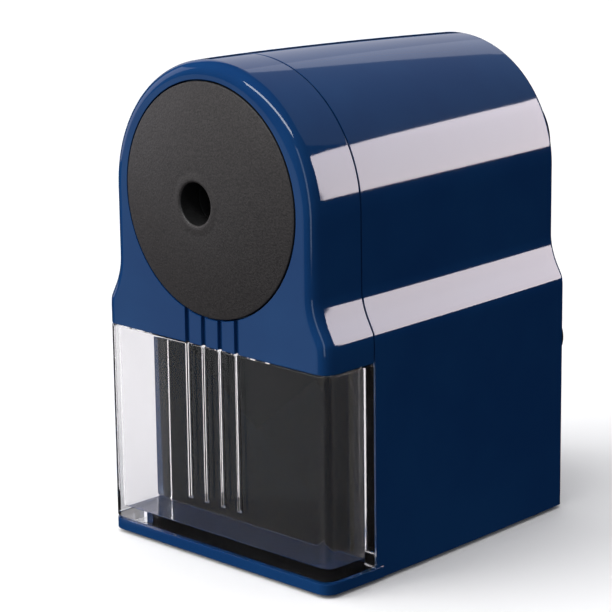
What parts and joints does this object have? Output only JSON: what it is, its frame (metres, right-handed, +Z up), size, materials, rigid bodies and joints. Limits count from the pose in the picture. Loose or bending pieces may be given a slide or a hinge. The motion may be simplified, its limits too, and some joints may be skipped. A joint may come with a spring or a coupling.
{
  "type": "pencil sharpener",
  "caption": "Hand-crank desktop pencil sharpener: arched navy housing, round dark front disc with a pencil hole, smoke-clear chip drawer and a rear crank that turns a planetary helical cutter.",
  "frame": {"origin": "centre of the overall box, crank included, on the surface that the feet stand on", "axes": "+Z up, -Y towards the front disc and the drawer, +Y towards the crank, X across the symmetric housing"},
  "size_m": [0.067, 0.1146, 0.109],
  "materials": {
    "navy_plastic": "high gloss injection-moulded, navy blue",
    "grained_dark_plastic": "fine spark-eroded grain, warm dark grey",
    "black_plastic": "moulded, satin",
    "rubber": "matte",
    "smoke_plastic": "transparent smoke-tinted polystyrene, polished",
    "grey_plastic": "moulded acetal, satin",
    "steel": "bright zinc-plated",
    "cast_metal": "die-cast, satin",
    "cutter_steel": "hardened and ground",
    "bronze": "sintered bronze",
    "nylon": "natural nylon",
    "black_gloss_plastic": "gloss black"
  },
  "bodies": {
    "housing": {"housing": "navy_plastic", "front_cover": "navy_plastic", "front_disc": "grained_dark_plastic", "pencil_guide": "black_plastic", "foot_front_left": "rubber", "foot_front_right": "rubber", "foot_back_left": "rubber", "foot_back_right": "rubber", "ring_gear": "grey_plastic", "gear_screw_1": "steel", "gear_screw_2": "steel", "gear_screw_3": "steel", "rear_bush": "bronze", "thrust_washer": "nylon"},
    "drawer": {"chip_drawer": "smoke_plastic"},
    "crank": {"crank_arm": "black_gloss_plastic", "crank_shaft": "steel", "crank_screw": "steel", "hub_cap": "black_gloss_plastic", "knob_pin": "steel", "cutter_carrier": "cast_metal", "cutter_pin": "steel"},
    "cutter": {"helical_cutter": "cutter_steel", "cutter_pinion": "cutter_steel"},
    "knob": {"knob": "black_gloss_plastic"}
  },
  "joints": [
    {"name": "crank_spin", "type": "hinge", "parent": "housing", "child": "crank", "pos_m": [0, 0.03015, 0.0797], "axis": [0, 1, 0], "continuous": true},
    {"name": "cutter_spin", "type": "hinge", "parent": "crank", "child": "cutter", "pos_m": [0, 0.04168, 0.0797], "axis": [0, 0.9816, -0.1908], "continuous": true},
    {"name": "knob_spin", "type": "hinge", "parent": "crank", "child": "knob", "pos_m": [0, 0.03605, 0.0297], "axis": [0, 1, 0], "continuous": true},
    {"name": "drawer_slide", "type": "slide", "parent": "housing", "child": "drawer", "axis": [0, -1, 0], "range_m": [0, 0.045]}
  ],
  "couplings": [
    {"joint": "cutter_spin", "follows": "crank_spin", "ratio": -1.9231}
  ]
}
